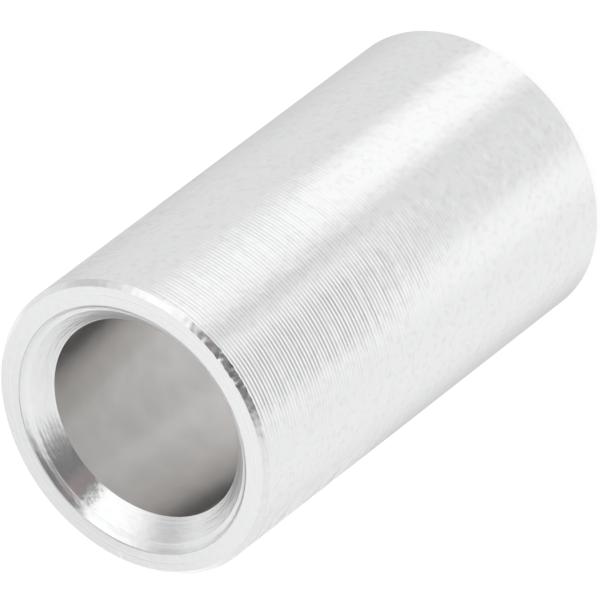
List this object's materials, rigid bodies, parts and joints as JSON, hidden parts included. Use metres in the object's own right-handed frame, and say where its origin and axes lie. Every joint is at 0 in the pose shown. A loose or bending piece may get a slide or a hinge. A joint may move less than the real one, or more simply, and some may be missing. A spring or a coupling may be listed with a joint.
{
  "type": "spacer sleeve",
  "caption": "Short turned aluminium tube with a plain through bore, countersunk at both ends, and square end faces with lightly broken outer rims.",
  "frame": {"origin": "centre of the circle that the sleeve stands on, at its lower end face", "axes": "+Z along the sleeve's axis, from the end it stands on to the other; X and Y are any pair across it"},
  "size_m": [0.012, 0.012, 0.022],
  "materials": {
    "turned_aluminium": "bare turned metal, fine feed marks round the outside, bright end faces"
  },
  "bodies": {
    "root": {"spacer_sleeve": "turned_aluminium"}
  },
  "joints": []
}
